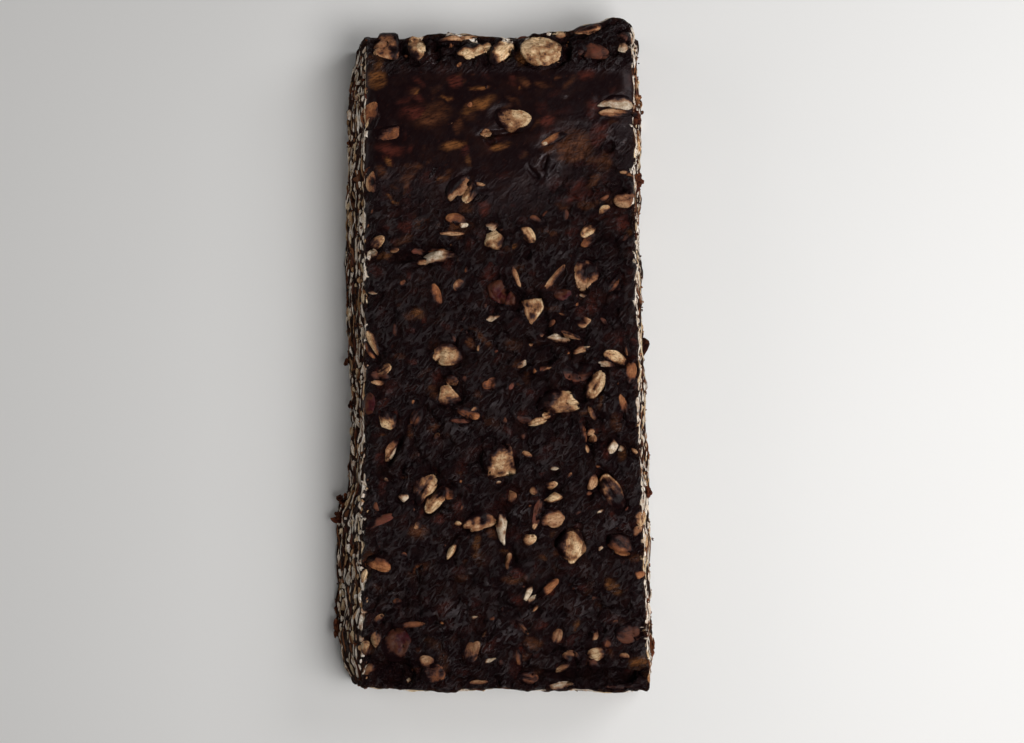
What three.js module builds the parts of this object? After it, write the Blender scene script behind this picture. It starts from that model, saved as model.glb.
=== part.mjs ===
// A granola bar: rolled oats, chopped nuts and dried fruit set in dark chocolate, in one solid piece.
// Millimetres, +Z up. It lies on its flat underside at z = 0, with its length along Y, and the origin
// is on the underside at the middle of its box. The long sides are cut faces that lean out to a wider
// foot; the far end (+Y) rounds down over coarse flakes and its right corner stands out; the near end
// (-Y) has a thin rim behind a groove.
import * as THREE from "three";
import { mergeVertices } from "three/addons/utils/BufferGeometryUtils.js";

// driving dimensions
const THICKNESS = 16;
const HALF_LENGTH = 60; // middle of the top face to either end, before the ends' own unevenness
const HALF_WIDTH = 25; // the same across the top face
const COLUMNS = 26; // mesh cells across the width
const ROWS = 60; // mesh cells along the length
const LAYERS = 5; // mesh cells up the sides
const END_CROWDING = 0.3; // share of the rows' spacing that tightens towards both ends

// how far each face reaches, as [distance along the edge, reach] pairs joined by smooth steps
const LEFT_EDGE = [[-60, 25.9], [-40, 25.6], [-10, 25.1], [60, 25]]; // top edge, by y
const LEFT_FOOT = [[-60, 2.6], [-55, 4.9], [-50, 6.1], [-29, 6.2], [-24, 3.9], [-4, 3.9],
  [10, 4.9], [44, 4.8], [60, 2.9]]; // how much further the underside reaches, by y
const RIGHT_EDGE = [[-60, 25.6], [-36, 25], [-10, 24.5], [60, 24.4]];
const RIGHT_FOOT = [[-60, 1.7], [-20, 2.5], [15, 2.1], [60, 2]];
const FAR_EDGE = [[-25, 60.9], [-22, 59.8], [-9, 61], [3, 60.1], [11, 61.1], [18, 62.6],
  [22.5, 63.9], [25, 62.2]]; // top edge, by x
const FAR_FOOT = 0.4;
const NEAR_EDGE = [[-25, 59.4], [-10, 60.3], [-2, 59.8], [7, 60.4], [25, 60.6]];
const NEAR_FOOT = 0.5;

// top face
const SHOULDER_RUN = 6.5; // how far in from the far end its rounding starts
const SHOULDER_DROP = 3;
const CORNER_KEEP = 0.55; // share of that drop which the raised right corner doesn't have
const CORNER_FROM = 12; // the raised corner starts at this x
const CORNER_RUN = 9;
const EDGE_RUN = 1.6; // rounding of the other top edges
const EDGE_DROP = 0.7;
const GROOVE_IN = 2; // groove's middle, in from the near end
const GROOVE_HALF = 1.3;
const GROOVE_DEPTH = 1.9;
const GROOVE_SPANS = [[-23, -16], [9, 24]]; // where the groove is deep, by x
const GROOVE_FADE = 2; // length over which it deepens at each end of a span
const GROOVE_SHALLOW = 0.25; // share of its depth that it keeps elsewhere
const SMOOTH_FROM = 28; // the face grows smoother beyond this y, towards the far end
const SMOOTH_RUN = 12;
const SMOOTH_KEEP = 0.35; // share of the top's unevenness that is left there

// unevenness: amplitude and wavelength of each kind
const TOP_LUMPS = { height: 0.45, across: 6 };
const SIDE_LUMPS = { height: 0.75, across: 4.2, apart: 9.5 };
const SIDE_STRATA = 3.4; // thickness of the pressed layers that stand out of the sides
const SIDE_FADE = 0.6; // share of the sides' unevenness that has gone at the top edge
const NEAR_CALM = 0.6; // the near end is cut cleaner than the other sides
const FLARE_CURVE = 1.3; // above 1, a side stays steep near its top and spreads towards its foot

const clamp01 = (value) => Math.min(1, Math.max(0, value));
const smooth = (value) => clamp01(value) ** 2 * (3 - 2 * clamp01(value));
const mix = (a, b, share) => a + (b - a) * share;

// Reach at one place along an edge, from its list of pairs.
function reach(pairs, at) {
  const last = pairs.length - 1;
  if (at <= pairs[0][0]) return pairs[0][1];
  if (at >= pairs[last][0]) return pairs[last][1];
  const next = pairs.findIndex(([place]) => place > at);
  const [from, a] = pairs[next - 1];
  const [to, b] = pairs[next];
  return mix(a, b, smooth((at - from) / (to - from)));
}

// A repeatable number from -1 to 1 for each point of a whole-number grid.
function scatter(i, j, k) {
  const wave = Math.sin(i * 127.1 + j * 311.7 + k * 74.7) * 43758.5453;
  return 2 * (wave - Math.floor(wave)) - 1;
}

// Smooth unevenness between -1 and 1, from the scattered numbers around a place.
function lumps(x, y, z) {
  const [i, j, k] = [Math.floor(x), Math.floor(y), Math.floor(z)];
  const [u, v, w] = [smooth(x - i), smooth(y - j), smooth(z - k)];
  const line = (jj, kk) => mix(scatter(i, jj, kk), scatter(i + 1, jj, kk), u);
  const sheet = (kk) => mix(line(j, kk), line(j + 1, kk), v);
  return mix(sheet(k), sheet(k + 1), w);
}

// How much of a side's foot shows at a share of the height: the full foot low down, none at the top.
const flare = (height) => 1 - height ** FLARE_CURVE;

// Side unevenness: the layers stand out and fall back along the side, and fade at its corners.
function ragged(along, height, side) {
  const lump = lumps(along / SIDE_LUMPS.across, (height * THICKNESS) / SIDE_STRATA, side * SIDE_LUMPS.apart);
  return SIDE_LUMPS.height * lump * (1 - SIDE_FADE * height);
}

// How deep the near groove is at x, as a share of its full depth.
function grooveShare(x) {
  const within = ([from, to]) => smooth((x - from) / GROOVE_FADE) * smooth((to - x) / GROOVE_FADE);
  return mix(GROOVE_SHALLOW, 1, Math.max(...GROOVE_SPANS.map(within)));
}

// Height of the top face at a plan place, where the edges are d.far, d.near and d.side away.
function topHeight(x, y, d) {
  const corner = smooth((x - CORNER_FROM) / CORNER_RUN);
  const shoulder = SHOULDER_DROP * (1 - CORNER_KEEP * corner);
  const fall = shoulder * clamp01(1 - d.far / SHOULDER_RUN) ** 2;
  const round = EDGE_DROP * clamp01(1 - Math.min(d.near, d.side) / EDGE_RUN) ** 2;
  const groove = GROOVE_DEPTH * grooveShare(x) * smooth(1 - Math.abs(d.near - GROOVE_IN) / GROOVE_HALF);
  const calm = mix(1, SMOOTH_KEEP, smooth((y - SMOOTH_FROM) / SMOOTH_RUN));
  const lump = TOP_LUMPS.height * calm * lumps(x / TOP_LUMPS.across, y / TOP_LUMPS.across, 0.5);
  return THICKNESS - fall - round - groove + lump;
}

// Where one point of a unit cube, centred on the origin, lies in the bar.
function place(point) {
  const across = 2 * point.x;
  const even = 2 * point.y;
  const along = mix(even, Math.sin((even * Math.PI) / 2), END_CROWDING);
  const height = point.z + 0.5;
  const [midX, midY] = [across * HALF_WIDTH, along * HALF_LENGTH];

  const left = reach(LEFT_EDGE, midY) + reach(LEFT_FOOT, midY) * flare(height) + ragged(midY, height, 1);
  const right = reach(RIGHT_EDGE, midY) + reach(RIGHT_FOOT, midY) * flare(height) + ragged(midY, height, 2);
  const far = reach(FAR_EDGE, midX) + FAR_FOOT * flare(height) + ragged(midX, height, 3);
  const near = reach(NEAR_EDGE, midX) + NEAR_FOOT * flare(height) + NEAR_CALM * ragged(midX, height, 4);
  const x = mix(-left, right, (across + 1) / 2);
  const y = mix(-near, far, (along + 1) / 2);

  const d = { far: far - y, near: y + near, side: Math.min(x + left, right - x) };
  return new THREE.Vector3(x, y, height * topHeight(x, y, d));
}

function barGeometry() {
  const geometry = new THREE.BoxGeometry(1, 1, 1, COLUMNS, ROWS, LAYERS);
  geometry.deleteAttribute("normal");
  geometry.deleteAttribute("uv");
  const position = geometry.getAttribute("position");
  const point = new THREE.Vector3();
  for (let i = 0; i < position.count; i += 1) {
    point.copy(place(point.fromBufferAttribute(position, i)));
    position.setXYZ(i, point.x, point.y, point.z);
  }
  geometry.computeBoundingBox();
  const middle = geometry.boundingBox.getCenter(new THREE.Vector3());
  geometry.translate(-middle.x, -middle.y, 0);
  const closed = mergeVertices(geometry, 1e-3);
  closed.computeVertexNormals();
  return closed;
}

const chocolate = new THREE.MeshStandardMaterial({ color: 0x2c1d19, roughness: 0.5, metalness: 0 });
const bar = new THREE.Mesh(barGeometry(), chocolate);
bar.name = "granola_bar";

const group = new THREE.Group();
group.add(bar);
export default group;
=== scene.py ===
import itertools
import math

import bpy
import numpy as np
from mathutils import Matrix, Vector
from mathutils.bvhtree import BVHTree


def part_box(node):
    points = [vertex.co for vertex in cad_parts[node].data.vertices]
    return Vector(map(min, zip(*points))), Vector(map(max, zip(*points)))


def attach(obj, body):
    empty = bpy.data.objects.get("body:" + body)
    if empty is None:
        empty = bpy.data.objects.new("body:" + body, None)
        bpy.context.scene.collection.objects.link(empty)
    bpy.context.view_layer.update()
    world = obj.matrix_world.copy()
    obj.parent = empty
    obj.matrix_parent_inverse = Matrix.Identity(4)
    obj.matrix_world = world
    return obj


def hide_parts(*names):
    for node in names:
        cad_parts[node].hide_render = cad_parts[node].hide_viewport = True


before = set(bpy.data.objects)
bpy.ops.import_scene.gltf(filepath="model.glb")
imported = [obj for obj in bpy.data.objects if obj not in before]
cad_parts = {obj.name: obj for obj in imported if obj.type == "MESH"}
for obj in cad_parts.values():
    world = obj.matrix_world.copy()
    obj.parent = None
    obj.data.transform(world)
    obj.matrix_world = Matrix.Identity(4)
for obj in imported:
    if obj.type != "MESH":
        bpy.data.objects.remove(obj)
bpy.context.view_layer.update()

# A granola bar. Lengths below are millimetres, turned into metres by MM. Plan places on the top face are
# measured from the middle of that face, which lies a little off the origin because the left foot and the
# far right corner stand out.
MM = 0.001
NODE = "granola_bar"
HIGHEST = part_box(NODE)[1][2] / MM  # top of the CAD solid
FACE_MIDDLE = np.array([2.01, -1.34, 0.0])
THICKNESS = 16.0
VOXEL = 0.35  # cell of the body's remesh
KEEP = 0.57  # share of the body's faces kept: the underside is thinned most, the top least
CLEARANCE = 0.06  # gap between the floor and the chocolate, which the flakes pressed into the underside fill
LOWEST = 0.02  # pieces in the sides stay this far above the floor
SMOOTH_FROM = 34.0  # beyond this y the chocolate lies in a smooth film
RAY_ABOVE, RAY_BELOW = 60.0, -20.0  # heights where rays to the top face and the underside start

STAINS = 320  # small flakes seen through the film, beside the named ones
COATED = 130  # flakes under chocolate on the top face
# the bits along the left edge are pale: partly oat edges, partly painted highlight for the white glints along
# that edge
BITS, EDGE_GLINT_BITS = 75, 30  # small bits between the named pieces, and along the left edge
PRESSED = 260  # flakes in the underside
LAYER = 1.2  # height from one layer of cut flakes to the next


# ---- numbers and noise

def smooth(value, low=0.0, high=1.0):
    """0 below low, 1 above high, and an S curve between."""
    t = np.clip((value - low) / (high - low), 0, 1)
    return t * t * (3 - 2 * t)


def scatter(cell, seed):
    """A repeatable number from -1 to 1 for each whole-number cell (N x 3)."""
    mixed = cell[:, 0] * 374761393 + cell[:, 1] * 668265263 + cell[:, 2] * 1440662683 + seed * 974634777
    mixed = ((mixed & 0xFFFFFFFF) ^ ((mixed & 0xFFFFFFFF) >> 13)) * 1274126177 & 0xFFFFFFFF
    return ((mixed ^ (mixed >> 16)) & 0xFFFF) / 32767.5 - 1


def lumps(points, size, seed=0):
    """Smooth noise from -1 to 1 at points (N x 3), with lumps of that size (one number, or one per axis)."""
    places = points / np.array(size, float)
    cell = np.floor(places).astype(np.int64)
    share = smooth(places - cell)
    total = np.zeros(len(points))
    for corner in itertools.product((0, 1), repeat=3):
        weight = np.prod(np.where(corner, share, 1 - share), axis=1)
        total += weight * scatter(cell + np.array(corner), seed)
    return total


def shaken(points, reach, size, seed):
    """Points (N x 3) moved about in plan by lumps of noise, so that the edge of a shape grows ragged."""
    x, y = lumps(points, size, seed), lumps(points, size, seed + 1)
    return points + reach * np.stack([x, y, np.zeros(len(points))], 1)


def turned(points, degrees):
    """Points (N x 3) in axes turned by that angle about Z."""
    c, s = math.cos(math.radians(degrees)), math.sin(math.radians(degrees))
    x, y, z = points.T
    return np.stack([c * x + s * y, c * y - s * x, z], 1)


# ---- what is set in the top face

# tone: colour of the dry piece, how far chocolate has soaked it, and what it is made of
TONES = {
    "white": ((0.66, 0.56, 0.44), 0.06, "nut"),
    "cream": ((0.74, 0.54, 0.33), 0.08, "oat"),
    "tan": ((0.5, 0.3, 0.17), 0.18, "oat"),
    "orange": ((0.38, 0.16, 0.066), 0.28, "oat"),
    "brown": ((0.22, 0.082, 0.04), 0.36, "oat"),
    "red": ((0.15, 0.04, 0.028), 0.36, "oat"),
    "fruit": ((0.05, 0.006, 0.01), 0.12, "fruit"),
}

# the tints of sunken flakes, seen through the film
SHOWING = {"orange": (0.21, 0.078, 0.024), "brown": (0.105, 0.036, 0.015), "red": (0.075, 0.017, 0.011)}

# Pieces that stand out on the top face: x, y, length, width, turn in degrees, how proud they stand, and for
# some how chocolate soaks them: "half" and the direction of that half, "ring" in the middle, or "speckled".
TOP_PIECES = {"white": [
    (22.8, 57.3, 2, 2, 0, .5), (21.5, 47.1, 5.5, 2.4, 0, .6, "half", 90), (8.2, 39.3, 1.6, .8, 20, .3),
    (-7, 24.3, 1.7, .8, -5, .3), (-11.9, 18.4, 5.2, 2.2, 12, .6), (-23.6, 19, 2, 1.5, -20, .6),
    (-23.7, 11.8, 1.8, .6, -15, .3), (-1.8, 24, 2, 1.5, 20, .5), (14.8, 11, 1.5, .7, 0, .3),
    (-1.8, 7, 2.4, 1.1, 20, .4), (10.4, 3, 3.8, 1.4, -20, .5), (15.3, 1.5, 1.1, .5, 10, .3),
    (3.4, -1.5, 2.1, .9, 35, .3), (18.9, -1.6, 2.9, 1, -8, .4), (-20.3, -17.8, 3, .6, 58, .5),
    (-21, -18.6, .9, .8, 0, .5), (-18.3, -25.5, 1.6, 1.4, 0, .5), (-21.3, -22.3, .9, .6, -30, .3),
    (-.5, -30.8, 5.3, 1.8, -84, .7, "speckled"), (-1, -23, 1, .6, 20, .3), (9.1, -20.6, 1.5, .6, 0, .4),
    (17.4, -28.3, 1.2, .5, 20, .3), (17.3, -35, .9, .8, 0, .4), (19.8, -16.8, 2.6, 1.5, 80, .6),
    (21.3, -17, 1.3, 1.1, 0, .5), (-2.8, -54.7, 2.5, .7, 10, .3), (-5.5, -47.2, 1.2, .7, 10, .3),
    (-17.4, -58.5, .9, .8, 0, .3), (4.2, -43, 2.8, .9, 60, .4), (4.8, -44, 1.8, .9, 40, .4),
    (9.8, -59.6, 4, 1.2, 5, .3),
], "cream": [
    (-15.6, 57.8, 5, 2.6, 100, .6), (-5, 57.2, 6, 2.8, 20, .7, "half", 100), (-.2, 57, 5.5, 3, 50, .7),
    (7.7, 56.7, 8, 6, -10, .9, "speckled"), (-24.6, 44, 2.6, .9, 75, .4),
    (1.8, 43.8, 6, 3.8, -15, .5, "half", 150), (-5.8, 30, 3.7, 2, 65, .5), (-23, 21.2, 2.9, 1.8, 40, .5),
    (-1.5, 21.3, 3, 2.8, 30, .4, "ring"), (18.8, 26.8, 2.1, 1.3, 40, .4), (15.8, 23, 2.9, 1.8, 35, .4),
    (4.9, 22.3, 3.3, 1.8, -55, .4), (-23.7, 2.8, 4.2, 1.3, -65, .4), (-21.7, -2.4, 2.9, 1.6, 30, .4),
    (-10.3, .4, 5.1, 3.4, -8, .6), (-10, -7.1, 4.5, 3.8, 20, .6),
    (-20.8, -11.6, 3.3, 2.8, -60, .5, "half", 90), (5.4, 8.6, 5, 4.1, 100, .6, "ring"),
    (20.5, -.4, 4, 1.8, -25, .5), (16.8, -5.3, 5, 2.6, 60, .5), (10, -8.2, 6.6, 3.8, 5, .6, "half", 130),
    (8, -10.8, 1.9, 1.2, 10, .4), (6.2, -12, 3.1, 1.2, 15, .4), (-14.4, -23.8, 5.7, 3, 55, .7),
    (-12.3, -25.9, 4.9, 2.4, 52, .6), (-1.2, -19, 5.7, 5.3, 20, .75, "half", 45),
    (-9.6, -35.3, 2.7, 1, 60, .5), (-25.4, -39.7, 2.4, 1, 70, .5), (8.4, -23.6, 2.3, 1.2, 0, .4),
    (8.9, -25.9, 2.6, 2.1, 10, .5, "half", 95), (19.5, -25, 6.1, 3.1, -60, .7, "half", 20),
    (4.4, -33.4, 2.5, 1.7, 10, .4), (11.8, -34.7, 5.2, 4.1, 75, .7, "half", 180),
    (24.6, -29.7, 2.7, 2, 70, .5), (-23.2, -50.8, 2.7, 1.7, 80, .3), (-3.5, -50.3, 1.4, .8, 50, .4),
    (-25.2, -52.5, 2.5, 1.5, 80, .4), (16.4, -53.8, 2.9, 2, 10, .4), (-8.4, -30.4, 1.2, .8, 10, .3),
], "tan": [
    (-21, 58, 5, 4.5, 50, .6, "half", 320), (-8.5, 59.8, 7, 1, 5, .4), (-2.8, 41.5, 2, 1, 10, .4),
    (16.5, 61.2, 4.6, 2, 10, .4), (11.2, 60.2, 2, 1, 25, .4), (21.5, 44.8, 6, 1.5, 0, .4),
    (-24, 32.3, 3.7, 1.7, 90, .3, "ring"), (-8, 31.3, 5.3, 2.7, 45, .6, "half", 140),
    (-4, 31.7, 1.9, .6, -10, .4), (-9.3, 22.6, 4, .7, 0, .2), (-14.7, 17.4, 1.8, .9, 0, .3),
    (-19.8, 19.7, 1.6, .9, 10, .2), (-8, 13.3, 2.3, 1.4, 45, .2), (22.6, 33.8, 1.7, .5, 0, .2),
    (22.7, 28.8, 3.9, 2.5, 15, .5), (2.4, 14.6, 3.7, 1, -70, .3), (9.7, 14.3, 5, 1.2, 50, .4),
    (15.4, 14.8, 5.1, 3.8, 85, .5, "ring"), (-22.7, -4.7, 2.7, .9, -5, .4), (-9.5, -4.2, 2.5, 1.8, -15, .5),
    (-5.4, -9.9, 1.7, .8, 30, .4), (14.5, 6.2, 2.8, 1.9, -15, .3, "ring"), (12.3, 3.7, 3.6, .9, -22, .4),
    (13.9, 1.1, 2.3, 1.3, 15, .3), (5.3, 2, .9, .6, 0, .2), (7.9, -2.4, 2, .6, 25, .3),
    (22.5, 1, 1.9, .5, -80, .3), (16.2, -10.6, 2.8, 1, -65, .4), (-20.5, -16.8, 4.2, 1.4, 60, .3),
    (-4.5, -30, 5.3, 2.8, 15, .6, "speckled"), (-12.2, -14.7, 1.6, .8, 60, .3),
    (1.5, -25.7, 2.6, 2.1, 90, .4), (4.2, -18, 1.9, .9, -30, .2), (5.5, -24.5, 1.6, 1.2, 0, .3),
    (11.7, -22, 1.6, .5, 40, .3), (5.6, -30.6, 1.6, .9, 60, .3), (8.9, -29.5, 4.2, 2.6, 5, .5),
    (16.2, -23.1, 2.9, 1.5, 70, .5), (24, -31.9, 2.2, 1.2, 45, .3), (.7, -37.2, 2.8, 1, 80, .3),
    (16.3, -15.3, 1.6, 1.2, 70, .4), (15.8, -14, 1.5, 1, 20, .4), (23.8, -17.5, 1.4, .7, -40, .3),
    (15.2, -17, 1.4, .6, -75, .3), (-22.8, -47.5, 2.3, 1.2, 55, .2), (-14.3, -54.9, 2.7, 1.8, 20, .3),
    (-6, -53.3, 4.3, 2.2, 75, .3), (-24.2, -56.2, 2.6, 1.6, 20, .4), (-4.8, -58.7, 3, .8, 5, .3),
    (3, -48.8, 3.3, .8, -50, .3), (9.3, -50.7, 2.7, 1.6, 70, .4), (11.8, -54.2, 2.9, 1.8, -10, .4),
    (16.1, -50.3, 2.3, 1.2, 90, .3), (10.2, -56.3, 2.7, 1, 30, .3), (21.3, -54.2, 1.7, 1, 0, .3),
], "orange": [
    (-24, 45, 4.6, 3.4, 75, .3), (-21, 41.3, 5, 2.2, 12, .3), (9.5, 40, 5, 1.3, 25, .3),
    (-8.2, 25.3, 3.8, 1.7, -10, .3), (-12, 19.6, 3, .8, 0, .3), (-12.3, 11.4, 3.5, 1.7, 110, .3),
    (16, 21.2, 3.3, 1.4, 40, .3), (20.3, 13, 3.3, 1.3, 55, .4), (-24.5, 1.5, 3.6, .9, -62, .3),
    (-15.8, -11, 3.7, 1.8, 58, .4, "half", 150), (-6.3, -10.4, 3.7, 1.6, -20, .4), (-2, -5, 3.3, 1.8, 10, .2),
    (8.8, 6, 1.5, 1, 30, .3), (23.3, -3, 4, 1.8, 80, .3), (22, -9.5, 5.3, 1.2, -75, .3),
    (14.4, -13.8, 3.7, 1, -75, .3), (-9.8, -24.8, 2.8, 2.6, 0, .5), (-22.7, -37.2, 4.1, 2.4, -20, .3),
    (21, -34.3, 4.5, 3, -35, .5), (-17.3, -48.4, 5.4, .9, 5, .3), (-13, -56.8, 4.1, 3, 0, .2),
    (7.8, -42.1, 4.7, 1.4, 42, .4), (4.1, -57.9, 3.5, 1.9, -10, .5), (2.5, -54.3, 2.5, 1.1, 90, .3),
    (24.3, -39.8, 2.1, 1.6, 0, .2), (-19.3, -44.2, 1.4, .9, 0, .2),
], "brown": [
    (18.8, 28.9, 1.9, .7, 30, .3), (6.2, 25.2, 2.1, 1, -30, .2), (15.5, -24.9, 1.1, .8, 60, .3),
], "red": [
    (16.8, 56.8, 6, 2.5, -10, .3), (22.8, 59.6, 2.6, 2, 0, .4), (-15, 19.5, 2.7, 1.1, 0, .2),
    (11.7, 26, 1.9, 1, 80, .2), (-22.8, -3.6, 3.7, 2, 0, .2), (-19.6, 5, 2.4, .7, 90, .2),
    (-7.5, -11.7, 3.6, .9, 0, .2), (18.5, 6.1, 1.7, .8, -50, .2), (7.8, -2, 2.7, 1, 25, .3),
    (13.3, -3, 5.4, 3.1, 0, .4, "half", 90), (4, -11.6, 3.1, 1.2, -5, .2), (-22.5, -29.6, 4.7, 1.5, 22, .2),
    (6.2, -28.4, 5, 1.5, 75, .4), (15.8, -55.5, 2.1, 1.6, 0, .3), (22.5, -50.3, 4.6, 3.2, 10, .3),
    (21, -59.6, 6, .8, 3, .2),
], "fruit": [
    (-24.5, -8.7, 3.6, 2.2, 85, .4), (-1, 12, 4, 3, 90, .4), (1.4, 10.4, 2.7, 2.3, 80, .6),
    (-19.8, -52, 5, 4.4, 40, .3), (11, 11.2, 3, 1.8, 10, .3),
]}
ALL_PIECES = [piece for pieces in TOP_PIECES.values() for piece in pieces]

# Pits in the top face: x, y, length, width, turn, depth
PITS = [
    (0, 41.3, 7.5, 1, 6, .8), (-2, 40, 2.4, 1.5, -60, .8), (20, 38.5, 2, 1.4, 60, .9),
    (12.4, 47.6, 1.4, .4, 0, .4), (-18, 18.2, 4.2, 1.6, 5, 1), (4.7, 18.7, 1.8, 1.2, 60, .6),
    (8, 35.8, 1, 3, -20, .7), (6, 33.6, 1, 3, 40, .5), (-11.2, -3.9, 1.6, .8, 0, .6),
    (-9.3, -10.3, 2, 1, 0, .6), (14.3, -6.3, 2.4, 1.2, 60, .7), (10.8, 2.1, 3.6, .6, -22, .5),
    (9.3, -21.6, 2, .8, 20, .8), (17.6, -16.4, 1.6, 1.2, 0, .7), (2.6, 8.6, 1.2, .8, 0, .6),
    (-13.6, -28.4, 2, 1, 20, .5), (20.6, -36.3, 4, 1, 0, .7), (1.8, -36.7, 1, 2, 20, .6),
    (-19.5, -56.8, 7, 4, 0, 1.5), (16.5, -57.7, 16, 2.2, -1, 3), (-1.1, -59.8, .5, 2.4, 0, 1.4),
    (12.5, 57, 1.2, 4, 0, .9), (-12, 57.5, 1.6, 4, 5, .9), (-10, 58.4, 6, 1.2, 4, .6),
    (13, 59.5, 6, 1, 8, .7), (-2.7, 58.3, 1.2, 2.6, 30, .8), (3, 57, .9, 4, 10, .9),
    (-18, 57.3, 1.2, 4, 20, .9),
]

# Flakes sunk below the film, which only show through it
SUNKEN = {"orange": [
    (-23, 51.7, 3.4, 3.2, 0), (-4, 49.7, 3.6, .8, 5), (-10, 48, 2.6, .6, 0), (-4.3, 46.5, 6.2, 2, 25),
    (-8.8, 39, 4.2, 1.6, 10), (-.3, 38.8, 4, 1, 12), (-20.7, 36, 1.9, 1, -50), (-20, 29, 2.5, .6, -35),
    (-15.5, 7.9, 2.4, 1.7, -45), (-21.5, 18.5, 2.7, 1, 15), (2.4, 20.2, 1.2, .8, 0),
], "brown": [
    (-13, 44.7, 6.6, 4, 15), (-16, 49.3, 2.4, .9, 35), (4.5, 50.7, 2.4, 1.1, -30), (13.5, 38.5, 6.4, 5.4, 20),
    (19, 35.6, 2.4, 3.4, 0), (-17.5, 31.3, 2.9, .8, 80), (-6.5, 27.3, 2.6, 1.9, 0), (16.8, 32, 3.4, 1.5, 50),
    (15.5, 27.7, 2.9, 1.5, 0), (8.8, 22.7, 2.6, 1, -15), (-6, 2.4, 2.4, 1.4, -35), (-3.8, 3.4, 5, .9, -45),
    (-15.5, -31.8, 3.4, 2.2, 0), (-15.3, -38.3, 3, 1.4, 15), (-9.2, 23.8, 4.6, 1.8, -5),
    (-17.8, 21.3, 3.8, 1.3, 20), (5, -51.8, 3.3, 2.2, -30),
], "red": [
    (-8.5, 51, 2.9, 2.2, 0), (8.5, 43.4, 2.4, 1.8, 0), (-20.5, 38.3, 5.4, 2.2, -10), (-3.3, 27.3, 2.8, 2, 80),
    (-17.5, 23.8, 2.9, 2.2, 0), (22.3, 24.3, 3.6, 2.4, 60), (-16.5, -.8, 1.8, 1.1, 0),
    (-22, -23.5, 2.8, 1.3, 80), (-11.7, -29.6, 2.8, 1.9, 10), (2.2, -39.4, 2.8, 1.4, 10),
    (6.3, -48.5, 2.3, 1.8, 0), (16, 52, 3.4, 1.9, 20), (14, 30, 5, 3, 45), (-15, 45, 7, 3, 0),
    (18, 41, 5, 3, 60),
]}

# Wet, glossy zones of the top face: x, y, length, width, turn
GLOSSY = [
    (-10, -47, 8, 5, 30), (-20, -43, 5, 3, 60), (0, -50, 9, 4, 40), (14, -45, 7, 3, 40), (17, -8, 5, 4, 0),
    (20, -31, 5, 3, 30), (-9, -13, 6, 3, 0), (9, 35, 4, 6, 20), (22, 40, 4, 4, 0), (4, -27, 6, 2.5, 50),
    (-18, -24, 4, 3, 30), (18, 55, 8, 4, -20), (-14, 55.5, 6, 2.5, 0), (12, 20, 6, 3, 40), (-3, -9, 5, 2, 20),
]


# ---- chocolate body

def in_ellipse(points, piece, grow=0.0):
    """How many half-widths each point lies from the middle of a plan ellipse (1 on its edge)."""
    x, y, length, width, turn = piece[:5]
    local = turned(points - np.array([x, y, 0]), turn)
    return np.hypot(local[:, 0] / (length / 2 + grow), local[:, 1] / (width / 2 + grow))


def top_relief(p, calm):
    """Height of the top face's own relief at points p, which is slight where it is calm."""
    torn = lumps(p, 10, 16) + 0.35 * smooth(p[:, 0], 0, 20) + 0.45 * smooth(-p[:, 1], 25, 50)
    wild = (1 - calm) * (0.45 + 0.55 * smooth(torn, -0.1, 0.6))
    broad = 0.16 * lumps(p, 8, 5) + 0.05 * lumps(p, 3, 6)
    lumpy = 0.18 * lumps(p, 2.3, 7) + 0.14 * lumps(p, 1.2, 8) + 0.1 * lumps(p, 0.8, 11)
    bent = turned(p + 1.2 * lumps(p, 4, 9)[:, None], 48)
    folds = 0.5 * (1 - np.abs(lumps(bent, (5.0, 1.8, 9), 10))) ** 6
    strokes = 0.1 * lumps(bent, (2.6, 0.8, 9), 15)
    cracks = 1.1 * (1 - np.abs(lumps(p + 0.8 * lumps(p, 2, 12)[:, None], (3.4, 2.6, 9), 13))) ** 9
    return broad + wild * (lumpy + folds + strokes - cracks - 0.02)


def calmness(p):
    """1 where the chocolate lies in a smooth film on the far part of the face, 0 where it is rough."""
    calm = smooth(p[:, 1] + 5 * lumps(p, 14, 3), SMOOTH_FROM - 8, SMOOTH_FROM + 4)
    calm *= 1 - smooth(p[:, 1], 52, 55)
    return calm * (1 - 0.6 * smooth(p[:, 0], 6, 16) * smooth(46 - p[:, 1], 0, 8))


def side_relief(p, along, out):
    """Relief of a cut side: pressed layers, torn crumbs and pores. along runs along the side."""
    layer = np.stack([along, p[:, 2] * 2.4, out], 1)
    return 0.34 * lumps(layer, 3.4, 21) + 0.24 * lumps(layer, 1.5, 22) + 0.12 * lumps(p, 0.8, 23)


def relief(p, n):
    """How far each point of the body moves along its normal."""
    up = smooth(n[:, 2], 0.35, 0.8)
    down = smooth(-n[:, 2], 0.5, 0.9)
    side = (1 - up) * (1 - down) * smooth(p[:, 2], 0.0, 0.8)
    long_side = np.abs(n[:, 0]) > np.abs(n[:, 1])
    along = np.where(long_side, p[:, 1], p[:, 0])
    out = np.where(long_side, np.sign(n[:, 0]), 3 * np.sign(n[:, 1])) * 50
    calm = calmness(p)
    height = up * top_relief(p, calm) + side * side_relief(p, along, out)
    top = np.nonzero(up > 0)[0]
    place = p[top] * np.array([1, 1, 0])
    wobble = 0.5 * lumps(place, 1.6, 14)
    change = np.zeros(len(top))
    for piece in ALL_PIECES:
        r = in_ellipse(place, piece)
        gap = (r - 1) * piece[3] / 2
        moat = np.exp(-((gap - 0.35) / 0.42) ** 2) * smooth(wobble, -0.25, 0.25) * (1 - 0.7 * calm[top])
        bed = smooth(1.15 - r, 0, 0.3)
        change -= (0.2 + 1.15 * piece[5]) * moat * (r < 4) + 0.12 * bed
    for pit in PITS:
        r = in_ellipse(place, pit) + 0.6 * wobble
        change -= 1.25 * pit[5] * smooth(1.4 - r, 0, 0.8)
    height[top] += up[top] * np.clip(change, -3.0, 0.3)
    return height


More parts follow.
